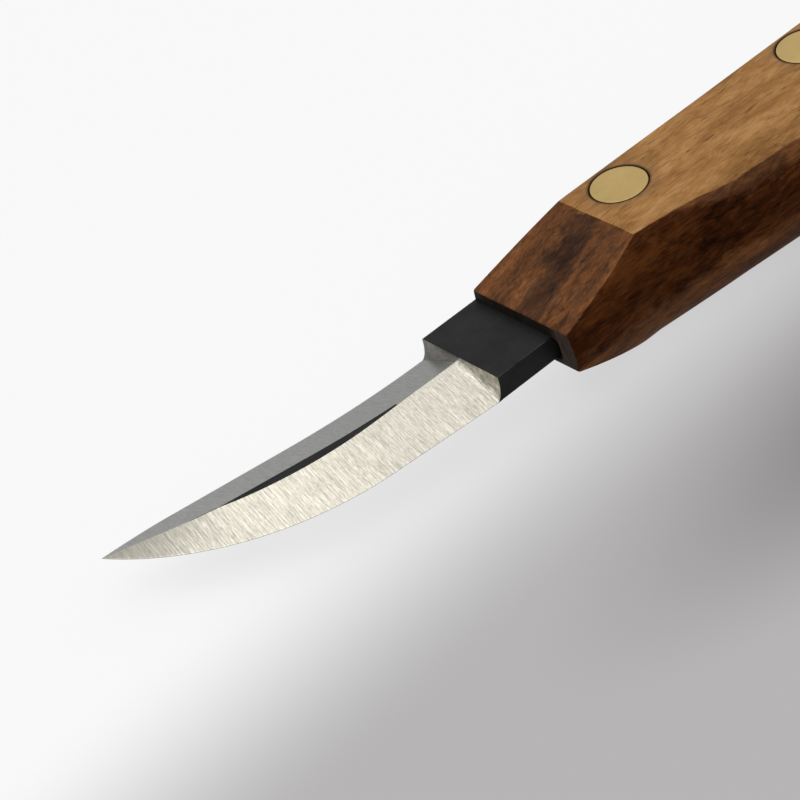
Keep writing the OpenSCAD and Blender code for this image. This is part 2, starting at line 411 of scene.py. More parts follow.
def ground_spine(x):
    """The points round the ground spine, from its bevel to its underside."""
    spine = spine_y(x)
    height = spine_thickness(x)
    size = min(SPINE_CORNER, height / 3)
    on_bevel = (spine + size, height + size * spine_rise(x), 0.0)
    return [on_bevel, *corner(spine, height, 1, -1, size)[1::-1], *corner(spine, 0, 1, 1, size)]


def drawn_section(x, section):
    """A section of the bar at x, from points of y, height above the underside, and how worn each is, which
    also paints a highlight.
    """
    return [(x, y, height - BAR_THICKNESS / 2, wear_and_light) for y, height, wear_and_light in section]


# The strips round a blade section, in the order of blade_section's points
UNDER_STRIPS = (0, 1)
HONED_STRIPS = (3, 4)
EDGE_BEVEL_STRIP = 5
LENS_STRIP = 6
SPINE_BEVEL_STRIP = 7
SPINE_STRIPS = (8, 9)


def blade_section(x, lift):
    """The section at x, from the underside at the edge round to the underside at the spine.

    lift is the share of the bevels' depth that the hollow at the ricasso fills up again: 1 is the whole bar.
    """
    edge_shoulder, spine_shoulder, top = bevel_shoulders(x)
    raised = mix(top, BAR_THICKNESS, lift)
    return drawn_section(x, [
        *mix_points(ground_edge(x), edge_corners(edge_y(x), BAR_CORNER), lift),
        (edge_shoulder, raised, 0.0),
        (spine_shoulder, raised, 0.0),
        *mix_points(ground_spine(x), spine_corners(spine_y(x), BAR_CORNER), lift),
    ])


def bar_section(x, edge):
    """The section of the ricasso and the tang, whose edge side draws in towards the tang's end."""
    width = edge - SPINE_SIDE
    middle = (edge + SPINE_SIDE) / 2
    size = min(BAR_CORNER, width / 3)
    return drawn_section(x, [
        *edge_corners(edge, size),
        (middle + half_ridge(width), BAR_THICKNESS, 0.0),
        (middle - half_ridge(width), BAR_THICKNESS, 0.0),
        *spine_corners(SPINE_SIDE, size),
    ])


def tang_sections():
    """The bar from the tang's curved end to the ricasso's front."""
    radius = SAW_RADIUS - TANG_END_GAP
    end_angle = math.acos((SPINE_SIDE + BAR_CORNER - SLOT_CENTRE_Y) / radius)
    start_angle = math.acos((EDGE_SIDE - SLOT_CENTRE_Y) / radius)
    straight_x = -RICASSO_LENGTH - SLOT_STRAIGHT
    curve = [
        bar_section(straight_x - radius * math.sin(angle), SLOT_CENTRE_Y + radius * math.cos(angle))
        for angle in steps_between(end_angle, start_angle, TANG_END_STEPS)
    ]
    straight_end = straight_x - radius * math.sin(start_angle)
    return curve + [bar_section(x, EDGE_SIDE) for x in spaced(straight_end, 0.0, TANG_SPACING)]


def ground_sections():
    """The hollow at the ricasso and the bevels, up to the tip."""
    hollow = [blade_section(PLUNGE_RADIUS * slow, 1 - quick) for slow, quick in quarter_arc(PLUNGE_STEPS)]
    tip = BLADE_LENGTH - TIP_BLUNTING
    bevels = [blade_section(x, 0.0) for x in spaced(PLUNGE_RADIUS, tip, BEVEL_SPACING)]
    return hollow + bevels + [blade_section(tip, 0.0)]


# Making meshes and objects


def extrude_sections(mesh, sections, finish_of=None):
    """Extrudes one face from section to section.

    Each point's fourth number marks how worn it is and its painted light, which the materials read.
    finish_of(strip, x) picks the material of each face round a section.
    """
    wear_and_light = mesh.verts.layers.float.new("wear_and_light")
    end = mesh.faces.new([mesh.verts.new(in_place(point[:3])) for point in sections[0]])
    for section in sections[1:]:
        start_verts = list(end.verts)
        grown = bmesh.ops.extrude_face_region(mesh, geom=[end, *end.edges])["geom"]
        end = next(part for part in grown if isinstance(part, bmesh.types.BMFace))
        for vert, point in zip(end.verts, section):
            vert.co = in_place(point[:3])
            vert[wear_and_light] = point[3]
        if finish_of is None:
            continue
        count = len(section)
        for strip in range(count):
            following = (strip + 1) % count
            corners = start_verts[strip], start_verts[following], end.verts[following], end.verts[strip]
            mesh.faces.get(corners).material_index = finish_of(strip, section[strip][0])


def keep_sharp(mesh, sharp_angle):
    """Shades the edges smooth, except those sharper than the angle."""
    for edge in mesh.edges:
        edge.smooth = edge.calc_face_angle(math.pi) < sharp_angle


def mesh_data(name, mesh):
    """Stores a worked mesh as data that an object can hold, and frees it."""
    data = bpy.data.meshes.new(name)
    mesh.to_mesh(data)
    mesh.free()
    return data


def new_object(name, data):
    """A new object in the scene."""
    made = bpy.data.objects.new(name, data)
    bpy.context.collection.objects.link(made)
    return made


def finished_object(name, mesh, materials, sharp_angle):
    """An object at the origin, smooth except at edges sharper than the angle."""
    bmesh.ops.remove_doubles(mesh, verts=mesh.verts, dist=MERGE_DISTANCE * MM)
    bmesh.ops.dissolve_degenerate(mesh, edges=mesh.edges, dist=SLIVER_LENGTH * MM)
    bmesh.ops.recalc_face_normals(mesh, faces=mesh.faces)
    for face in mesh.faces:
        face.smooth = True
    keep_sharp(mesh, sharp_angle)
    data = mesh_data(name, mesh)
    for material in materials:
        data.materials.append(material)
    return new_object(name, data)


def cut(piece, cutter, sharp_angle):
    """Takes the cutter out of the piece for good."""
    modifier = piece.modifiers.new("holes", "BOOLEAN")
    modifier.operation = "DIFFERENCE"
    modifier.solver = "EXACT"
    modifier.object = cutter
    depsgraph = bpy.context.evaluated_depsgraph_get()
    data = bpy.data.meshes.new_from_object(piece.evaluated_get(depsgraph))
    piece.modifiers.clear()
    piece.data = data
    data.name = piece.name
    mesh = bmesh.new()
    mesh.from_mesh(data)
    keep_sharp(mesh, sharp_angle)
    mesh.to_mesh(data)
    mesh.free()


def spun(profile, x, y):
    """A turned solid about the upright axis through x and y, from its profile of radius and height."""
    mesh = bmesh.new()
    verts = [mesh.verts.new(in_place((x + radius, y, z))) for radius, z in profile]
    edges = [mesh.edges.new(pair) for pair in zip(verts, verts[1:])]
    bmesh.ops.spin(
        mesh, geom=verts + edges, cent=in_place((x, y, 0)), axis=(0, 0, 1), angle=2 * math.pi,
        steps=TURNING_STEPS, use_merge=True,
    )
    return mesh


# The brass rivets and their holes


def rivet_place(index):
    """Where a rivet's axis stands, counted from the nose."""
    return -RICASSO_LENGTH - FIRST_RIVET - index * RIVET_SPACING, -RIVET_OFFSET


def head_profile():
    """The rivet's head from the middle of its face to its seat, for a face that looks up."""
    face = [(RIVET_HEAD_RADIUS * ring, HALF_HANDLE) for ring in HEAD_RINGS]
    rim = [
        (RIVET_HEAD_RADIUS - RIVET_RIM * (1 - quick), HALF_HANDLE - RIVET_RIM * slow)
        for slow, quick in quarter_arc(RIM_STEPS)
    ]
    return face + rim + [(RIVET_HEAD_RADIUS, HALF_HANDLE - RIVET_RIM), (RIVET_HEAD_RADIUS, HEAD_SEAT)]


def socket_profile():
    """The upper half of a rivet: a head on a tube with a blind bore."""
    tube_end = -HEAD_SEAT + RIVET_GAP
    bore_end = HEAD_SEAT - BORE_FLOOR
    return head_profile() + [
        (RIVET_TUBE_RADIUS, HEAD_SEAT),
        (RIVET_TUBE_RADIUS, tube_end),
        (RIVET_PIN_RADIUS, tube_end),
        (RIVET_PIN_RADIUS, bore_end),
        (0.0, bore_end),
    ]


def stud_profile():
    """The lower half of a rivet: a head on a pin that fits the bore."""
    pin_end = HEAD_SEAT - BORE_FLOOR - PIN_ROOM
    head = [(radius, -z) for radius, z in head_profile()]
    return head + [(RIVET_PIN_RADIUS, -HEAD_SEAT), (RIVET_PIN_RADIUS, pin_end), (0.0, pin_end)]


def hole_profile():
    """The hole for a rivet, with its two sunk seats and their softened rims, as a solid that cuts it."""
    upper = [
        (0.0, HALF_HANDLE + CUTTER_OVERHANG),
        (SEAT_EDGE, HALF_HANDLE + CUTTER_OVERHANG),
        (SEAT_EDGE, HALF_HANDLE),
        (SEAT_RADIUS, HALF_HANDLE - SEAT_RIM),
        (SEAT_RADIUS, HEAD_SEAT),
        (RIVET_TUBE_RADIUS + RIVET_GAP, HEAD_SEAT),
    ]
    return upper + [(radius, -z) for radius, z in reversed(upper)]


# The wooden handle


def taper_height(distance, nose, length):
    """Height of a sloping facet and its flat, with the crease between them softened."""
    slope = (HALF_HANDLE - nose) / length
    over = (distance - length) / CREASE_SOFTNESS
    if abs(over) < 1:
        return HALF_HANDLE - slope * CREASE_SOFTNESS * (1 - over) ** 2 / 4
    return min(HALF_HANDLE, nose + slope * distance)


def butt_turn(distance):
    """How far the sides have turned in towards the butt: 0 before it, 1 at its end."""
    inward = max(0.0, 1 - (HANDLE_LENGTH - distance) / BUTT_TURN)
    return 1 - math.sqrt(1 - inward ** 2)


def belly_reach(distance):
    """How far the belly reaches: out to the palm, then in again to the butt."""
    if distance < PALM_DISTANCE:
        swell = math.sin(QUARTER_TURN * max(0.0, distance - TOP_TAPER) / (PALM_DISTANCE - TOP_TAPER))
        return mix(NOSE_BELLY, PALM_BELLY, swell)
    fall = ease((distance - PALM_DISTANCE) / (HANDLE_LENGTH - PALM_DISTANCE))
    return mix(PALM_BELLY, BUTT_BELLY, fall) - BELLY_TURN * butt_turn(distance)


def back_reach(distance):
    """How far the straight back reaches."""
    return mix(NOSE_BACK, BACK_REACH, ease(distance / TOP_TAPER)) - BACK_TURN * butt_turn(distance)


def edge_rounding(distance, full, inset):
    """The rounding of a long edge: crisp on the tapers, then growing to its full size."""
    grown = ease((distance - TOP_TAPER) / (ROUNDING_END - TOP_TAPER))
    return max(CRISP_ROUNDING, mix(CRISP_ROUNDING, full, grown) - inset)


def side_points(reach, radius, height, rounding, start_height):
    """A side of the handle's section from its start height up to the flat: y, z and tilt of the face."""
    meet = math.asin((height - rounding) / (radius - rounding))
    start = math.asin(start_height / radius)
    middle = reach - radius
    turn = middle + (radius - rounding) * math.cos(meet)
    side = [
        (middle + radius * math.cos(tilt), radius * math.sin(tilt), tilt)
        for tilt in steps_between(start, meet, SIDE_STEPS)
    ]
    rounded = [
        (turn + rounding * math.cos(tilt), height - rounding * (1 - math.sin(tilt)), tilt)
        for tilt in steps_between(meet, QUARTER_TURN, ROUNDING_STEPS)
    ]
    flat = [(turn, height, QUARTER_TURN), (turn - FLAT_MARGIN, height, QUARTER_TURN)]
    return side + rounded + flat


def slot_depth_y(distance):
    """Where the slot's bottom lies, at a distance from the nose."""
    past = max(0.0, distance - SLOT_STRAIGHT)
    if past >= SAW_RADIUS:
        return SLOT_CENTRE_Y
    return SLOT_CENTRE_Y + math.sqrt(SAW_RADIUS ** 2 - past ** 2)


def slot_points(back, depth_y):
    """The slot's section from its upper lip in to the bottom's rounded corner: y, z and no tilt.

    The lip and the rounding shrink where the slot runs out through the back.
    """
    half = BAR_THICKNESS / 2
    depth = max(0.0, depth_y + back)
    lip = min(SLOT_LIP, depth / 3)
    rim = min(SAW_RIM_ROUNDING, depth / 2)
    wall_start = -back + lip
    bottom = -back + depth
    lips = [
        (-back + lip * slow, half + SLOT_LIP * (1 - quick), 0.0)
        for slow, quick in quarter_arc(LIP_STEPS)
    ]
    wall = [(wall_start, half, 0.0), (mix(wall_start, bottom - rim, 0.5), half, 0.0)]
    rounded = [
        (bottom - rim * (1 - quick), half - SAW_RIM_ROUNDING * slow, 0.0)
        for slow, quick in quarter_arc(SAW_RIM_STEPS)
    ]
    return lips + wall + rounded + [(bottom, half - SAW_RIM_ROUNDING, 0.0)]


def half_section(distance, inset, height):
    """Half the handle's section, from the belly over the flat and the back into the slot: y, z and tilt."""
    belly_edge = min(edge_rounding(distance, BELLY_ROUNDING, inset), height * BELLY_ROUNDING_SHARE)
    back_edge = min(edge_rounding(distance, BACK_ROUNDING, inset), height * BACK_ROUNDING_SHARE)
    lip_height = BAR_THICKNESS / 2 + SLOT_LIP
    belly = side_points(belly_reach(distance) - inset, BELLY_RADIUS - inset, height, belly_edge, 0.0)
    back = side_points(back_reach(distance) - inset, BACK_RADIUS - inset, height, back_edge, lip_height)
    slot_mouth = back[0][0]
    outside = belly + [(-y, z, tilt) for y, z, tilt in reversed(back)]
    return outside + slot_points(slot_mouth, slot_depth_y(distance))


def sanded(tilt, distance, taper):
    """How much the wood is sanded, with painted light, where its face tilts up this much: 1 on the flats,
    less on the tapers.
    """
    rearward = ease((distance - TOP_TAPER) / (SANDED_AND_LIT_REAR_DISTANCE - TOP_TAPER))
    limit = mix(SANDED_AND_LIT_TILT_FRONT, SANDED_AND_LIT_TILT_REAR, rearward)
    turned_up = ease(((tilt - limit) / SANDED_AND_LIT_TILT_SOFTNESS + 1) / 2)
    return turned_up * mix(SANDED_AND_LIT_TAPER, 1.0, (distance - taper) / SANDED_AND_LIT_CREASE + 0.5)


def belly_lightening(y, tilt):
    """How much lighter the belly's lower half is."""
    if y < 0:
        return 0.0
    return BELLY_LIGHTENING * ease(tilt / BELLY_LIGHTENING_END)


def handle_section(distance, inset):
    """The handle's section at a distance from the nose, drawn in by an inset at its two ends."""
    top = taper_height(distance, NOSE_TOP, TOP_TAPER) - inset
    bottom = taper_height(distance, NOSE_BOTTOM, BOTTOM_TAPER) - inset
    # The paleness of the faces that look up is partly painted light, and their darker sides painted shade
    kept = 1 - ease(inset / SANDED_AND_LIT_INSET)
    upper = [
        (y, z, kept * sanded(tilt, distance, TOP_TAPER))
        for y, z, tilt in half_section(distance, inset, top)
    ]
    lower = [
        (y, -z, kept * max(sanded(tilt, distance, BOTTOM_TAPER), belly_lightening(y, tilt)))
        for y, z, tilt in half_section(distance, inset, bottom)
    ]
    return [(-RICASSO_LENGTH - distance, *point) for point in upper + lower[:0:-1]]


def handle_distances():
    """Where the handle's sections lie between the nose's rim and the butt's rounding."""
    creases = [
        length + CREASE_SOFTNESS * share for length in (BOTTOM_TAPER, TOP_TAPER) for share in CREASE_SHARES
    ]
    run_out = SLOT_STRAIGHT + math.sqrt(SAW_RADIUS ** 2 - (SLOT_CENTRE_Y + BACK_REACH) ** 2)
    fine_start = run_out - RUN_OUT_BEFORE
    fine_end = run_out + RUN_OUT_AFTER
    even = (
        spaced(NOSE_RIM, BOTTOM_TAPER - CREASE_SOFTNESS, HANDLE_SPACING)
        + spaced(TOP_TAPER + 2 * CREASE_SOFTNESS, fine_start, HANDLE_SPACING)
        + spaced(fine_start, fine_end, RUN_OUT_SPACING)
        + spaced(fine_end, HANDLE_LENGTH - BUTT_ROUNDING, HANDLE_SPACING)
    )
    return sorted(even + creases)


def handle_sections():
    """The handle from the nose's rim to the butt."""
    rim = [handle_section(NOSE_RIM * slow, NOSE_RIM * (1 - quick)) for slow, quick in quarter_arc(RIM_STEPS)]
    body = [handle_section(distance, 0.0) for distance in handle_distances()]
    butt_start = HANDLE_LENGTH - BUTT_ROUNDING
    butt_depth = BUTT_ROUNDING - BUTT_HAIR
    butt = [
        handle_section(butt_start + butt_depth * quick, BUTT_ROUNDING * slow)
        for slow, quick in quarter_arc(BUTT_STEPS)
    ]
    return rim + body + butt + [handle_section(butt_start + butt_depth, BUTT_ROUNDING)]


# Shader helpers


def new_material(name):
    """A material with its node tree and its surface shader."""
    material = bpy.data.materials.new(name)
    material.use_nodes = True
    return material, material.node_tree, material.node_tree.nodes["Principled BSDF"]


def feed(tree, socket, value):
    """Gives a socket a plain value, or the output of another node."""
    if isinstance(value, bpy.types.NodeSocket):
        tree.links.new(value, socket)
    else:
        socket.default_value = value


def feed_all(tree, node, inputs):
    """Feeds a node's inputs by their names or numbers."""
    for name, value in inputs.items():
        feed(tree, node.inputs[name], value)


def add(tree, kind, inputs, **settings):
    """A new node with its settings and inputs. Returns its first output."""
    node = tree.nodes.new(kind)
    for name, value in settings.items():
        setattr(node, name, value)
    feed_all(tree, node, inputs)
    return node.outputs[0]


def place_on_piece(tree):
    """The place of each point of the piece, in metres."""
    return tree.nodes.new("ShaderNodeTexCoord").outputs["Object"]


def wear_and_light_on_piece(tree):
    """Each point's mark of wearing and sanding, which also carries painted light."""
    return add(tree, "ShaderNodeAttribute", {}, attribute_name="wear_and_light").node.outputs["Fac"]


def scaled(tree, vector, scale):
    """A vector stretched along each way."""
    return add(tree, "ShaderNodeMapping", {"Vector": vector, "Scale": scale})


def noise(tree, vector, scale, detail, roughness, distortion=0.0):
    """Noise on a vector that is first scaled, so that the pattern can be drawn out along one way."""
    return add(tree, "ShaderNodeTexNoise", {
        "Vector": scaled(tree, vector, scale), "Scale": 1.0, "Detail": detail,
        "Roughness": roughness, "Distortion": distortion,
    })


def grain(tree, place, along, across, detail, roughness, distortion=0.0):
    """Noise along the knife: how often it changes along it and across it, per metre."""
    return noise(tree, place, (along, across, across), detail, roughness, distortion)


def between(tree, value, limits, results=(0.0, 1.0), kind="LINEAR"):
    """Carries a value between two limits over to between two results, and never past them."""
    return add(tree, "ShaderNodeMapRange", {
        "Value": value, "From Min": limits[0], "From Max": limits[1],
        "To Min": results[0], "To Max": results[1],
    }, interpolation_type=kind)


def part_of(tree, vector, axis):
    """One part of a vector: X, Y or Z."""
    return add(tree, "ShaderNodeSeparateXYZ", {"Vector": vector}).node.outputs[axis]


def calculate(tree, operation, first, second=0.0):
    """A calculation with one or two numbers."""
    return add(tree, "ShaderNodeMath", {0: first, 1: second}, operation=operation)


def calculate_vector(tree, operation, *vectors):
    """A calculation with one or two vectors. Returns the outputs Vector and Value."""
    return add(tree, "ShaderNodeVectorMath", dict(enumerate(vectors)), operation=operation).node.outputs


def weighted(tree, value, weight):
    """A value times its weight."""
    return calculate(tree, "MULTIPLY", value, weight)


def weighted_sum(tree, *parts):
    """The sum of values, each given with its weight."""
    total, *others = [weighted(tree, value, weight) for value, weight in parts]
    for other in others:
        total = calculate(tree, "ADD", total, other)
    return total


def ramp(tree, value, stops):
    """A colour for a value, from stops of place and colour."""
    node = tree.nodes.new("ShaderNodeValToRGB")
    elements = node.color_ramp.elements
    while len(elements) < len(stops):
        elements.new(0.5)
    for element, (place, colour) in zip(elements, stops):
        element.position = place
        element.color = (*colour, 1.0)
    tree.links.new(value, node.inputs["Fac"])
    return node.outputs["Color"]


def blend(tree, share, first, second, blend_type="MIX"):
    """A mix of two colours."""
    node = tree.nodes.new("ShaderNodeMix")
    node.data_type = "RGBA"
    node.blend_type = blend_type
    for socket, value in ((node.inputs[0], share), (node.inputs[6], first), (node.inputs[7], second)):
        feed(tree, socket, (*value, 1.0) if isinstance(value, tuple) else value)
    return node.outputs[2]


def bump(tree, height, strength, depth):
    """A bumped surface, with its depth in millimetres."""
    return add(tree, "ShaderNodeBump", {"Height": height, "Strength": strength, "Distance": depth * MM})


# Materials

# Dark, middle and bright tones of the ground steel
# The two bevels are one ground steel: the edge bevel's bright tones are a painted reflection of the light
# overhead, the spine bevel's darker tones painted shade
LIT_BEVEL_TONES = (0.44, 0.42, 0.355), (0.60, 0.57, 0.485), (0.77, 0.74, 0.65)
SHADED_BEVEL_TONES = (0.275, 0.275, 0.265), (0.305, 0.305, 0.295), (0.335, 0.335, 0.325)
HOLLOW_TONES = (0.30, 0.28, 0.235), (0.57, 0.545, 0.47), (0.82, 0.79, 0.71)
DULL_TONES = (0.14, 0.13, 0.115), (0.18, 0.17, 0.155), (0.22, 0.21, 0.19)
# How much rougher the dark grinding lines are than the middle ones, and how much smoother the bright ones
LINE_GLOSS = 0.06

OXIDE_SCRATCH = (0.03, 0.03, 0.03)
# Lighter oxide on the corners: partly rubbing, partly a painted highlight
RUBBED_AND_LIT_OXIDE = (0.09, 0.09, 0.088)

STREAK_TINT = (0.42, 0.48, 0.66)
DARK_STREAK = (0.022, 0.011, 0.007)
DARK_PORE = (0.030, 0.014, 0.008)
SEAT_DUST = (0.13, 0.085, 0.055)
# The seat's dark ring: grime in its gap, with painted shade
SEAT_GRIME_AND_SHADE = (0.040, 0.023, 0.013)
OPEN_PORE = (0.014, 0.009, 0.007)
# Dark glue round the tang, with painted shade on the wood's lip over the steel
TANG_GLUE_AND_SHADE = (0.007, 0.005, 0.004)

BRASS_SCRATCH = (0.42, 0.285, 0.108)

# The floor's grey end and its shaded colour are painted shade
PALE_FLOOR = (0.94, 0.94, 0.95)
GREY_FLOOR = (0.47, 0.46, 0.46)
SHADED_FLOOR = (0.03, 0.02, 0.02)


def ground_steel(name, tones, line_scale, roughness):
    """Steel with short grinding lines across the bar. line_scale is how close they lie, per millimetre."""
    dark, middle, bright = tones
    material, tree, surface = new_material(name)
    place = scaled(tree, place_on_piece(tree), (1 / MM, 1 / MM, 0.0))
    coarse = noise(tree, place, (line_scale, 0.3, 0.0), detail=2.0, roughness=0.5)
    fine = noise(tree, place, (line_scale * 1.6, 0.7, 0.0), detail=2.0, roughness=0.6)
    grains = noise(tree, place, (line_scale * 1.2, 2.0, 0.0), detail=2.0, roughness=0.5)
    pits = noise(tree, place, (line_scale * 0.7, 2.0, 0.0), detail=3.0, roughness=0.6)
    lines = weighted_sum(tree, (coarse, 0.35), (fine, 0.4), (grains, 0.25))
    colour = ramp(tree, lines, [(0.38, dark), (0.5, middle), (0.62, bright)])
    colour = blend(tree, between(tree, pits, (0.66, 0.74), (0.0, 0.5)), colour, dark)
    feed_all(tree, surface, {
        "Base Color": colour,
        "Metallic": 1.0,
        "Roughness": between(tree, lines, (0.4, 0.6), (roughness + LINE_GLOSS, roughness - LINE_GLOSS)),
        "Normal": bump(tree, lines, strength=0.25, depth=0.02),
    })
    return material


def black_oxide():
    """The bar's own dark skin, lighter along its corners from rubbing and from a painted highlight."""
    material, tree, surface = new_material("black_oxide")
    place = place_on_piece(tree)
    cloud = grain(tree, place, along=260.0, across=260.0, detail=5.0, roughness=0.6)
    scratches = grain(tree, place, along=90.0, across=2600.0, detail=3.0, roughness=0.6)
    speckle = grain(tree, place, along=3200.0, across=3200.0, detail=2.0, roughness=0.6)
    colour = ramp(tree, cloud, [(0.3, (0.008, 0.008, 0.0085)), (0.7, (0.013, 0.013, 0.0132))])
    colour = blend(tree, between(tree, scratches, (0.62, 0.72), (0.0, 0.3)), colour, OXIDE_SCRATCH)
    rubbed_and_lit = calculate(tree, "MULTIPLY", wear_and_light_on_piece(tree), between(tree, cloud, (0.38, 0.6)))
    colour = blend(tree, weighted(tree, rubbed_and_lit, 0.7), colour, RUBBED_AND_LIT_OXIDE)
    feed_all(tree, surface, {
        "Base Color": colour,
        "Metallic": 0.0,
        "Roughness": between(tree, cloud, (0.3, 0.7), (0.62, 0.46)),
        "Specular IOR Level": 0.16,
        "Normal": bump(tree, speckle, strength=0.18, depth=0.02),
    })
    return material


def rivet_distance(tree, place):
    """How far a point lies from the nearest rivet's axis, in metres."""
    first = in_place((*rivet_place(0), 0))
    last_index = len(RIVET_NAMES) - 1
    spacing = RIVET_SPACING * MM
    behind_first = calculate(tree, "SUBTRACT", first.x, part_of(tree, place, "X"))
    index = calculate(tree, "ROUND", calculate(tree, "DIVIDE", behind_first, spacing))
    index = calculate(tree, "MAXIMUM", calculate(tree, "MINIMUM", index, last_index), 0.0)
    across_x = calculate(tree, "SUBTRACT", behind_first, weighted(tree, index, spacing))
    across_y = calculate(tree, "SUBTRACT", part_of(tree, place, "Y"), first.y)
    flat = add(tree, "ShaderNodeCombineXYZ", {"X": across_x, "Y": across_y})
    return calculate_vector(tree, "LENGTH", flat)["Value"]


def heart_streak(tree, place):
    """How much of the dark streak shows: it runs slanting along the tapers, with a ragged border."""
    ragged = grain(tree, place, along=130.0, across=480.0, detail=5.0, roughness=0.7, distortion=0.6)
    start = in_place((-RICASSO_LENGTH - TOP_TAPER, STREAK_Y, 0))
    forward = calculate(tree, "SUBTRACT", part_of(tree, place, "X"), start.x)
    across = calculate(tree, "SUBTRACT", part_of(tree, place, "Y"), start.y)
    from_middle = calculate(tree, "SUBTRACT", across, weighted(tree, forward, STREAK_SLANT))
    reach = STREAK_RAGGEDNESS * MM
    shifted = calculate(tree, "ADD", from_middle, between(tree, ragged, (0.3, 0.7), (-reach, reach)))
    border = [STREAK_HALF_WIDTH * MM * share for share in (1 + STREAK_SOFTNESS, 1 - STREAK_SOFTNESS)]
    return between(tree, calculate(tree, "ABSOLUTE", shifted), border)


def sanded_and_lit_colour(tree, place, tone):
    """The wood's colour by its tone: darkest where oil and painted shade lie, brown where worn and in painted
    half shade, and pale where sanded and in painted light.
    """
    oiled_and_shaded = ramp(tree, tone, [
        (0.40, (0.012, 0.0034, 0.0011)),
        (0.50, (0.046, 0.0125, 0.0030)),
        (0.60, (0.095, 0.030, 0.0075)),
    ])
    rubbed_and_lit = ramp(tree, tone, [
        (0.40, (0.058, 0.026, 0.013)),
        (0.47, (0.108, 0.044, 0.018)),
        (0.54, (0.165, 0.063, 0.022)),
        (0.62, (0.235, 0.099, 0.037)),
    ])
    pale = ramp(tree, tone, [
        (0.40, (0.222, 0.104, 0.034)),
        (0.50, (0.320, 0.158, 0.053)),
        (0.60, (0.420, 0.228, 0.089)),
    ])
    rubbed_and_lit = blend(tree, heart_streak(tree, place), rubbed_and_lit, STREAK_TINT, "MULTIPLY")
    patches = grain(tree, place, along=330.0, across=640.0, detail=4.0, roughness=0.65)
    uneven = between(tree, patches, (0.3, 0.7), (-0.15, 0.15))
    sanding_and_light = calculate(tree, "ADD", wear_and_light_on_piece(tree), uneven)
    colour = blend(tree, between(tree, sanding_and_light, (0.10, 0.38)), oiled_and_shaded, rubbed_and_lit)
    return blend(tree, between(tree, sanding_and_light, (0.72, 0.84)), colour, pale)


def with_seat_dust(tree, place, streaks, colour):
    """The wood's colour with streaky dust and a dark ring of grime and painted shade round each rivet's seat.
    """
    from_axis = rivet_distance(tree, place)
    near = between(tree, from_axis, ((SEAT_EDGE + DUST_REACH) * MM, SEAT_EDGE * MM))
    dusty = calculate(tree, "MULTIPLY", near, between(tree, streaks, (0.4, 0.6), (0.1, 0.5)))
    colour = blend(tree, dusty, colour, SEAT_DUST)
    # A dark ring of grime and painted shade just outside the seat
    ring = between(tree, from_axis, ((SEAT_EDGE + RING_REACH) * MM, SEAT_EDGE * MM), (0.0, 0.8))
    return blend(tree, ring, colour, SEAT_GRIME_AND_SHADE)


def oiled_wood():
    """Figured brown hardwood with its grain along the handle, sanded paler on the two flats, which also hold
    painted light, with painted shade on its sides.
    """
    material, tree, surface = new_material("oiled_wood")
    place = place_on_piece(tree)
    figure = grain(tree, place, along=75.0, across=260.0, detail=4.0, roughness=0.55, distortion=0.7)
    mottle = grain(tree, place, along=330.0, across=950.0, detail=5.0, roughness=0.65, distortion=0.8)
    fibres = grain(tree, place, along=520.0, across=4800.0, detail=2.0, roughness=0.6)
    pores = grain(tree, place, along=520.0, across=5200.0, detail=2.0, roughness=0.5)
    streaks = grain(tree, place, along=230.0, across=1300.0, detail=3.0, roughness=0.6, distortion=0.6)
    tone = weighted_sum(tree, (figure, 0.42), (mottle, 0.36), (fibres, 0.22))
    colour = sanded_and_lit_colour(tree, place, tone)
    colour = with_seat_dust(tree, place, streaks, colour)
    colour = blend(tree, between(tree, streaks, (0.63, 0.72), (0.0, 0.6)), colour, DARK_STREAK)
    colour = blend(tree, between(tree, pores, (0.6, 0.7), (0.0, 0.4)), colour, DARK_PORE)
    relief = calculate(tree, "SUBTRACT", fibres, between(tree, pores, (0.6, 0.7)))
    feed_all(tree, surface, {
        "Base Color": colour,
        "Roughness": between(tree, fibres, (0.3, 0.7), (0.6, 0.46)),
        "Specular IOR Level": 0.02,
        "Normal": bump(tree, relief, strength=0.2, depth=0.04),
    })
    return material


def end_grain():
    """The wood cut at the nose and in the slot: dark, with open pores, and darker round the tang from glue
    and painted shade.
    """
    material, tree, surface = new_material("end_grain")
    place = place_on_piece(tree)
    rings = noise(tree, place, (20.0, 420.0, 160.0), detail=4.0, roughness=0.6, distortion=0.6)
    pores = grain(tree, place, along=300.0, across=3600.0, detail=3.0, roughness=0.6)
    colour = ramp(tree, rings, [(0.35, (0.020, 0.014, 0.011)), (0.65, (0.058, 0.043, 0.036))])
    colour = blend(tree, between(tree, pores, (0.56, 0.66), (0.0, 0.7)), colour, OPEN_PORE)
    tang_edge = in_place((0, EDGE_SIDE, 0)).y
    # Glue and painted shade darken the cut wood beside the tang
    glue_and_shade = between(tree, part_of(tree, place, "Y"), (tang_edge + GLUE_AND_SHADE_REACH * MM, tang_edge), (0.0, 0.8))
    feed_all(tree, surface, {
        "Base Color": blend(tree, glue_and_shade, colour, TANG_GLUE_AND_SHADE),
        "Roughness": between(tree, rings, (0.3, 0.7), (0.75, 0.6)),
        "Specular IOR Level": 0.06,
        "Normal": bump(tree, pores, strength=0.3, depth=0.05),
    })
    return material


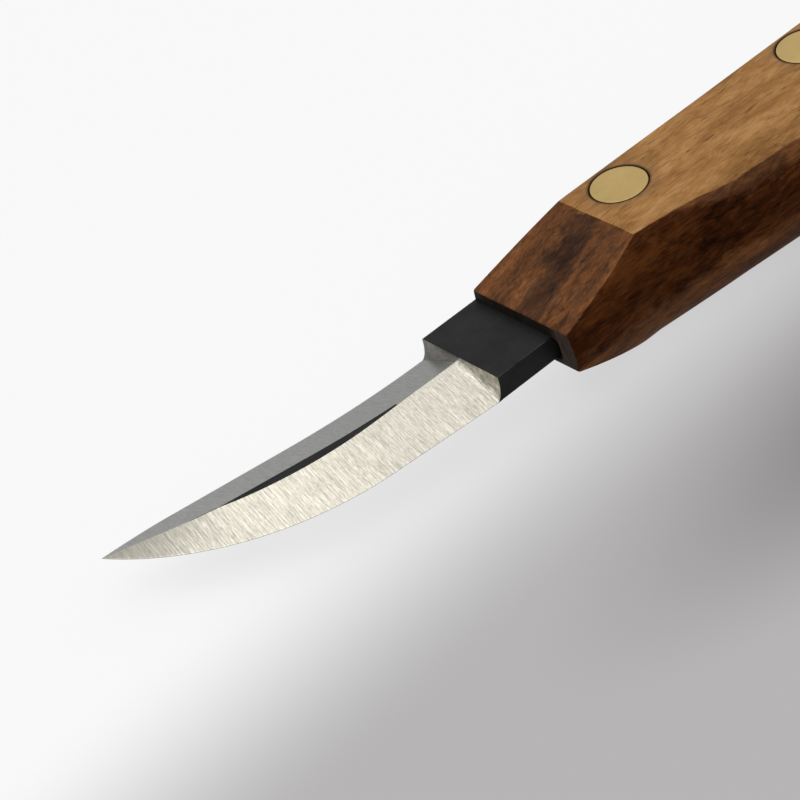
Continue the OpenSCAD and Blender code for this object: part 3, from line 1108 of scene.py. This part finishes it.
def sanded_brass():
    """Brass sanded flush with the wood, its fine scratches running along the handle."""
    material, tree, surface = new_material("sanded_brass")
    place = place_on_piece(tree)
    scratches = grain(tree, place, along=150.0, across=6000.0, detail=3.0, roughness=0.6)
    cloud = grain(tree, place, along=220.0, across=320.0, detail=3.0, roughness=0.55)
    colour = ramp(tree, cloud, [(0.3, (0.51, 0.36, 0.142)), (0.7, (0.585, 0.42, 0.168))])
    feed_all(tree, surface, {
        "Base Color": blend(tree, between(tree, scratches, (0.58, 0.7), (0.0, 0.3)), colour, BRASS_SCRATCH),
        "Metallic": 1.0,
        "Roughness": between(tree, scratches, (0.3, 0.7), (0.40, 0.52)),
        "Normal": bump(tree, scratches, strength=0.12, depth=0.02),
    })
    return material


# The pieces

# The blade's finishes, in the order of its materials
BLACK, BRIGHT, SHADED_BEVEL, HOLLOW, SPINE_HOLLOW = range(5)
# The handle's finish where it is cut across or sawn, after its oiled wood
CUT_WOOD = 1


def blade_finish(strip, x):
    """Which finish a strip of the blade has at x."""
    if x <= 0:
        return BLACK
    if strip == LENS_STRIP:
        return BLACK if LENS_START < x < LENS_END else SHADED_BEVEL
    if strip in (*HONED_STRIPS, EDGE_BEVEL_STRIP) and x < PLUNGE_RADIUS:
        return HOLLOW
    if strip in (*UNDER_STRIPS, *HONED_STRIPS, EDGE_BEVEL_STRIP):
        return BRIGHT
    if strip in (SPINE_BEVEL_STRIP, *SPINE_STRIPS):
        return SPINE_HOLLOW if x < PLUNGE_RADIUS else SHADED_BEVEL
    return BLACK


def make_blade(holes):
    """The ground bar with its rivet holes."""
    mesh = bmesh.new()
    extrude_sections(mesh, tang_sections() + ground_sections(), blade_finish)
    finishes = [
        black_oxide(),
        # The edge bevel holds a painted reflection of the light, the spine bevel painted shade
        ground_steel("ground_bevel", LIT_BEVEL_TONES, line_scale=5.5, roughness=0.42),
        ground_steel("shaded_spine_bevel", SHADED_BEVEL_TONES, line_scale=5.0, roughness=0.4),
        ground_steel("filed_hollow", HOLLOW_TONES, line_scale=4.0, roughness=0.5),
        ground_steel("filed_spine_hollow", DULL_TONES, line_scale=2.4, roughness=0.5),
    ]
    piece = finished_object("ground_blade", mesh, finishes, BLADE_SHARP_ANGLE)
    cut(piece, holes, BLADE_SHARP_ANGLE)
    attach(piece, "root")
    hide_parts("blade")


def mark_flats(piece):
    """Gives the new rims of the rivet holes the sanded paleness and painted light of the flats round them."""
    for vert, mark in zip(piece.data.vertices, piece.data.attributes["wear_and_light"].data):
        if abs(vert.co.z - DRAWING_ZERO.z) > (HALF_HANDLE - SEAT_RIM / 2) * MM:
            mark.value = 1.0


def is_cut_wood(face):
    """Whether a face of the handle is its cut nose or a wall of the slot."""
    drawn = (face.center - DRAWING_ZERO) / MM
    distance = -RICASSO_LENGTH - drawn.x
    if face.normal.x > NOSE_FACING:
        return distance < NOSE_RIM
    in_slot_height = abs(drawn.z) < BAR_THICKNESS / 2 + SLOT_LIP
    in_slot_depth = SPINE_SIDE + SLOT_LIP < drawn.y < slot_depth_y(distance) + SLOT_LIP
    return in_slot_height and in_slot_depth


def make_handle(holes):
    """The slotted handle with its rivet holes."""
    mesh = bmesh.new()
    extrude_sections(mesh, handle_sections())
    piece = finished_object("slotted_handle", mesh, [oiled_wood(), end_grain()], HANDLE_SHARP_ANGLE)
    cut(piece, holes, HANDLE_SHARP_ANGLE)
    mark_flats(piece)
    for face in piece.data.polygons:
        if is_cut_wood(face):
            face.material_index = CUT_WOOD
    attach(piece, "root")
    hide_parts("handle")


def make_rivets():
    """The two halves of each rivet."""
    brass = sanded_brass()
    for index, name in enumerate(RIVET_NAMES):
        for half, profile in (("socket", socket_profile()), ("stud", stud_profile())):
            mesh = spun(profile, *rivet_place(index))
            piece = finished_object(f"{name}_brass_{half}", mesh, [brass], BRASS_SHARP_ANGLE)
            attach(piece, "root")
            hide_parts(f"{name}_rivet_{half}")


def make_holes():
    """The rivet holes as one cutter."""
    holes = bmesh.new()
    for index in range(len(RIVET_NAMES)):
        data = mesh_data("hole", spun(hole_profile(), *rivet_place(index)))
        holes.from_mesh(data)
        bpy.data.meshes.remove(data)
    return finished_object("holes", holes, [], HANDLE_SHARP_ANGLE)


# The floor, the light and the view


def floor_colour(tree, place):
    """Pale, with painted shade greying it towards the cutting-edge side and a painted soft shadow beside the
    handle.
    """
    grey_way = Vector((-FLOOR_SLANT, 1.0, 0.0))
    limits = [in_place((0, y, 0)).dot(grey_way) for y in (PALE_FLOOR_Y, GREY_FLOOR_Y)]
    along_way = calculate_vector(tree, "DOT_PRODUCT", place, grey_way)["Value"]
    greyness = between(tree, along_way, limits, kind="SMOOTHSTEP")
    colour = ramp(tree, greyness, [(0.0, PALE_FLOOR), (1.0, GREY_FLOOR)])
    from_shade = calculate_vector(tree, "SUBTRACT", place, in_place(SHADE_PLACE))["Vector"]
    shares = scaled(tree, from_shade, (1 / (SHADE_HALF_LENGTH * MM), 1 / (SHADE_HALF_WIDTH * MM), 0.0))
    outward = calculate_vector(tree, "LENGTH", shares)["Value"]
    shading = between(tree, outward, (1.0, 0.0), (0.0, SHADE_STRENGTH), "SMOOTHSTEP")
    return blend(tree, shading, colour, SHADED_FLOOR)


def floor_material():
    """A dull floor that shows part of its own colour, to the eye and in the metal, whether lit or not."""
    material, tree, surface = new_material("pale_floor")
    colour = floor_colour(tree, place_on_piece(tree))
    feed_all(tree, surface, {"Base Color": colour, "Roughness": 0.9, "Specular IOR Level": 0.1})
    ray = tree.nodes.new("ShaderNodeLightPath").outputs
    mirrored = calculate(tree, "MAXIMUM", ray["Is Glossy Ray"], ray["Is Transmission Ray"])
    seen = calculate(tree, "MAXIMUM", ray["Is Camera Ray"], mirrored)
    glow = add(tree, "ShaderNodeEmission", {"Color": colour})
    softened = add(tree, "ShaderNodeMixShader", {
        0: weighted(tree, seen, FLOOR_GLOW), 1: surface.outputs["BSDF"], 2: glow,
    })
    tree.links.new(softened, tree.nodes["Material Output"].inputs["Surface"])
    return material


def make_floor():
    """A plain floor under the knife."""
    mesh = bmesh.new()
    bmesh.ops.create_grid(mesh, x_segments=1, y_segments=1, size=FLOOR_REACH)
    floor = new_object("floor", mesh_data("floor", mesh))
    floor.data.materials.append(floor_material())


def make_lamp(name, toward, distance, size, power):
    """A square soft lamp that looks at the knife from a direction. Its measures are in metres and watts."""
    data = bpy.data.lights.new(name, "AREA")
    data.size = size
    data.energy = power
    lamp = new_object(name, data)
    direction = Vector(toward).normalized()
    lamp.location = direction * distance
    lamp.rotation_mode = "QUATERNION"
    lamp.rotation_quaternion = direction.to_track_quat("Z", "Y")


def make_sky():
    """Soft light, brightest overhead and dim on the cutting-edge side."""
    world = bpy.data.worlds.new("soft_sky")
    world.use_nodes = True
    tree = world.node_tree
    direction = tree.nodes.new("ShaderNodeTexCoord").outputs["Generated"]
    up = part_of(tree, direction, "Z")
    colour = ramp(tree, up, [(height, (grey, grey, grey)) for height, grey in SKY_GREYS])
    low_in_front = calculate(tree, "SUBTRACT", part_of(tree, direction, "Y"), up)
    strength = between(tree, low_in_front, SKY_LEAN, SKY_STRENGTH)
    feed_all(tree, tree.nodes["Background"], {"Color": colour, "Strength": strength})
    bpy.context.scene.world = world


def make_camera():
    """The photograph's view, from the tip and the cutting-edge side."""
    data = bpy.data.cameras.new("camera")
    data.sensor_width = CAMERA_SENSOR
    data.lens = CAMERA_LENS
    data.clip_start, data.clip_end = CAMERA_RANGE
    camera = new_object("camera", data)
    turn = Matrix((CAMERA_RIGHT, CAMERA_UP, CAMERA_RIGHT.cross(CAMERA_UP))).transposed().to_4x4()
    camera.matrix_world = Matrix.Translation(in_place(CAMERA_PLACE)) @ turn
    bpy.context.scene.camera = camera


rivet_holes = make_holes()
make_blade(rivet_holes)
make_handle(rivet_holes)
bpy.data.objects.remove(rivet_holes)
make_rivets()
make_floor()
make_lamp("window", toward=(0.25, 0.25, 0.93), distance=1.6, size=1.8, power=6.0)
make_sky()
make_camera()
bpy.context.scene.view_settings.view_transform = "Standard"
